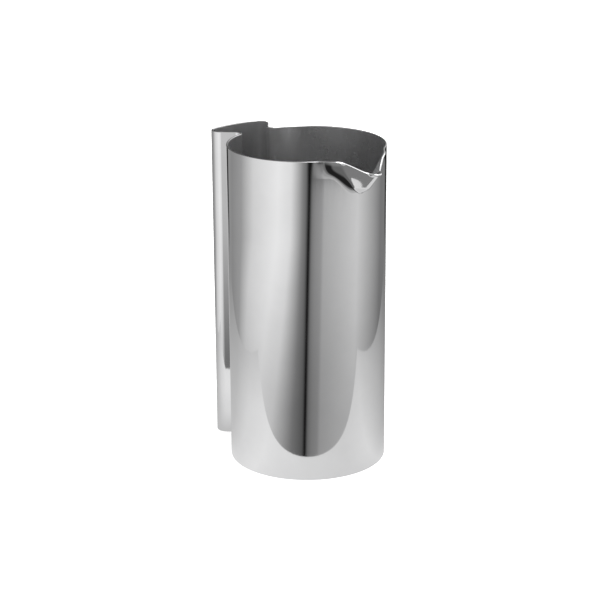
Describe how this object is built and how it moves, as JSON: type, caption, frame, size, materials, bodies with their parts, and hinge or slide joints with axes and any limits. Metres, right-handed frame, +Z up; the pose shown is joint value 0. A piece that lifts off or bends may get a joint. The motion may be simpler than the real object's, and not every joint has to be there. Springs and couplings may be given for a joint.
{
  "type": "water pitcher",
  "caption": "Cylindrical water pitcher in mirror-polished sheet metal, with a hollow dovetail handle running the full height and a V-shaped pouring spout drawn out of the rim.",
  "frame": {"origin": "centre of the round body on the table, in the plane of the underside", "axes": "+Z up, +X towards the spout, -X towards the handle; the XZ plane is the plane of symmetry"},
  "size_m": [0.1435, 0.102, 0.2103],
  "materials": {
    "polished": "mirror-polished outside, fine satin inside",
    "satin": "fine satin",
    "weld": "ground and polished flush outside, satin inside"
  },
  "bodies": {
    "root": {"body_shell": "polished", "spout": "polished", "handle_shell": "polished", "base_plate": "satin", "handle_seam_left": "weld", "handle_seam_right": "weld", "base_seam": "weld"}
  },
  "joints": []
}
